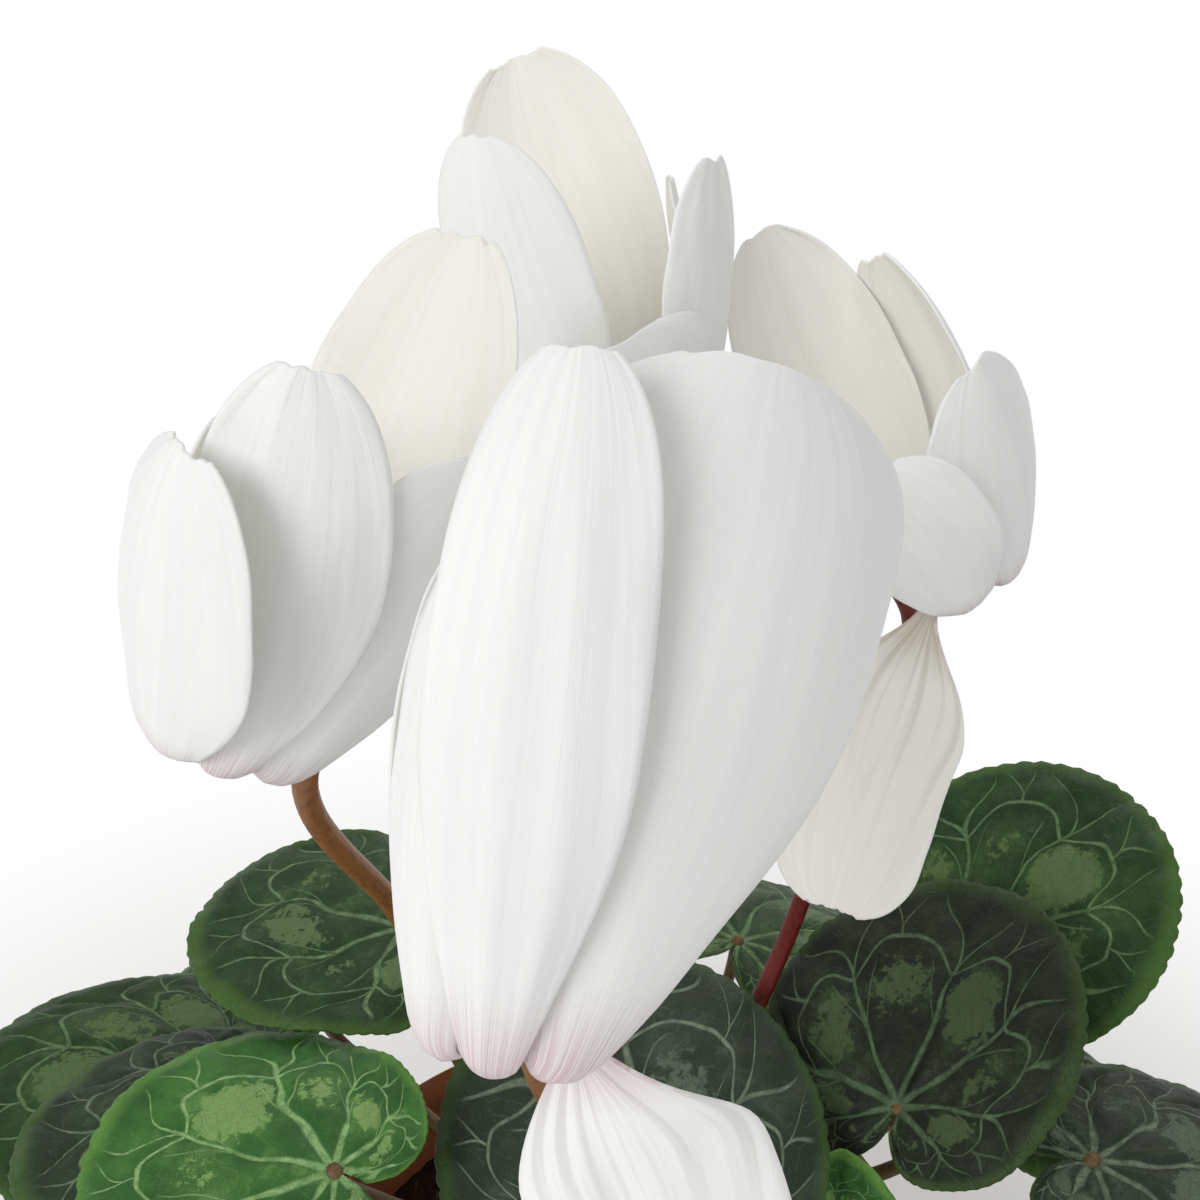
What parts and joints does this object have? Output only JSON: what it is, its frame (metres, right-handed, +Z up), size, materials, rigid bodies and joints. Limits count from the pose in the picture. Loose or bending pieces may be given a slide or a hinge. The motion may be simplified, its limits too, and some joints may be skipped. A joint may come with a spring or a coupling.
{
  "type": "potted cyclamen",
  "caption": "Flowering cyclamen in a plain clay pot: soil, corm, rounded leaves on stalks and nodding white flowers with upswept petals on hooked stems.",
  "frame": {"origin": "middle of the flat underside of the pot, on the pot's axis", "axes": "+Z up along the pot's axis, -Y is the plant's front, +X to its right"},
  "size_m": [0.2829, 0.2342, 0.3683],
  "materials": {
    "clay": "matt unglazed terracotta",
    "soil": "crumbly peat compost",
    "corm": "corky brown skin",
    "leaf": "satin, dark green with silver-green patches and pale veins",
    "withered_leaf": "dry, brown and cream",
    "flower_stem": "satin, brown to dark red",
    "calyx": "matt, green-brown",
    "stamens": "matt, dusty yellow-brown",
    "petal": "satin white, slightly translucent"
  },
  "bodies": {
    "root": {"pot": "clay", "soil": "soil", "corm": "corm", "leaf_back_left": "leaf", "leaf_far_left": "leaf", "leaf_mid_left": "leaf", "leaf_front_left": "leaf", "leaf_centre": "leaf", "leaf_front_low": "leaf", "leaf_low_left": "leaf", "leaf_back_right": "leaf", "leaf_right_folded": "leaf", "leaf_far_right": "leaf", "leaf_low_right": "leaf", "leaf_front_right": "leaf", "leaf_rear_left": "leaf", "leaf_rear": "leaf", "leaf_rear_right": "leaf", "leaf_right_hanging": "leaf", "leaf_curled": "leaf", "leaf_withered": "withered_leaf", "flower_front_tube": "petal", "flower_front_calyx": "calyx", "flower_front_stamens": "stamens", "flower_front_stem": "flower_stem", "flower_front_petal_a": "petal", "flower_front_petal_b": "petal", "flower_front_petal_c": "petal", "flower_front_petal_d": "petal", "flower_front_petal_e": "petal", "flower_left_tube": "petal", "flower_left_calyx": "calyx", "flower_left_stamens": "stamens", "flower_left_stem": "flower_stem", "flower_left_petal_a": "petal", "flower_left_petal_b": "petal", "flower_left_petal_c": "petal", "flower_left_petal_d": "petal", "flower_left_petal_e": "petal", "flower_back_tube": "petal", "flower_back_calyx": "calyx", "flower_back_stamens": "stamens", "flower_back_stem": "flower_stem", "flower_back_petal_a": "petal", "flower_back_petal_b": "petal", "flower_back_petal_c": "petal", "flower_back_petal_d": "petal", "flower_back_petal_e": "petal", "flower_right_tube": "petal", "flower_right_calyx": "calyx", "flower_right_stamens": "stamens", "flower_right_stem": "flower_stem", "flower_right_petal_a": "petal", "flower_right_petal_b": "petal", "flower_right_petal_c": "petal", "flower_right_petal_d": "petal", "flower_right_petal_e": "petal"}
  },
  "joints": []
}
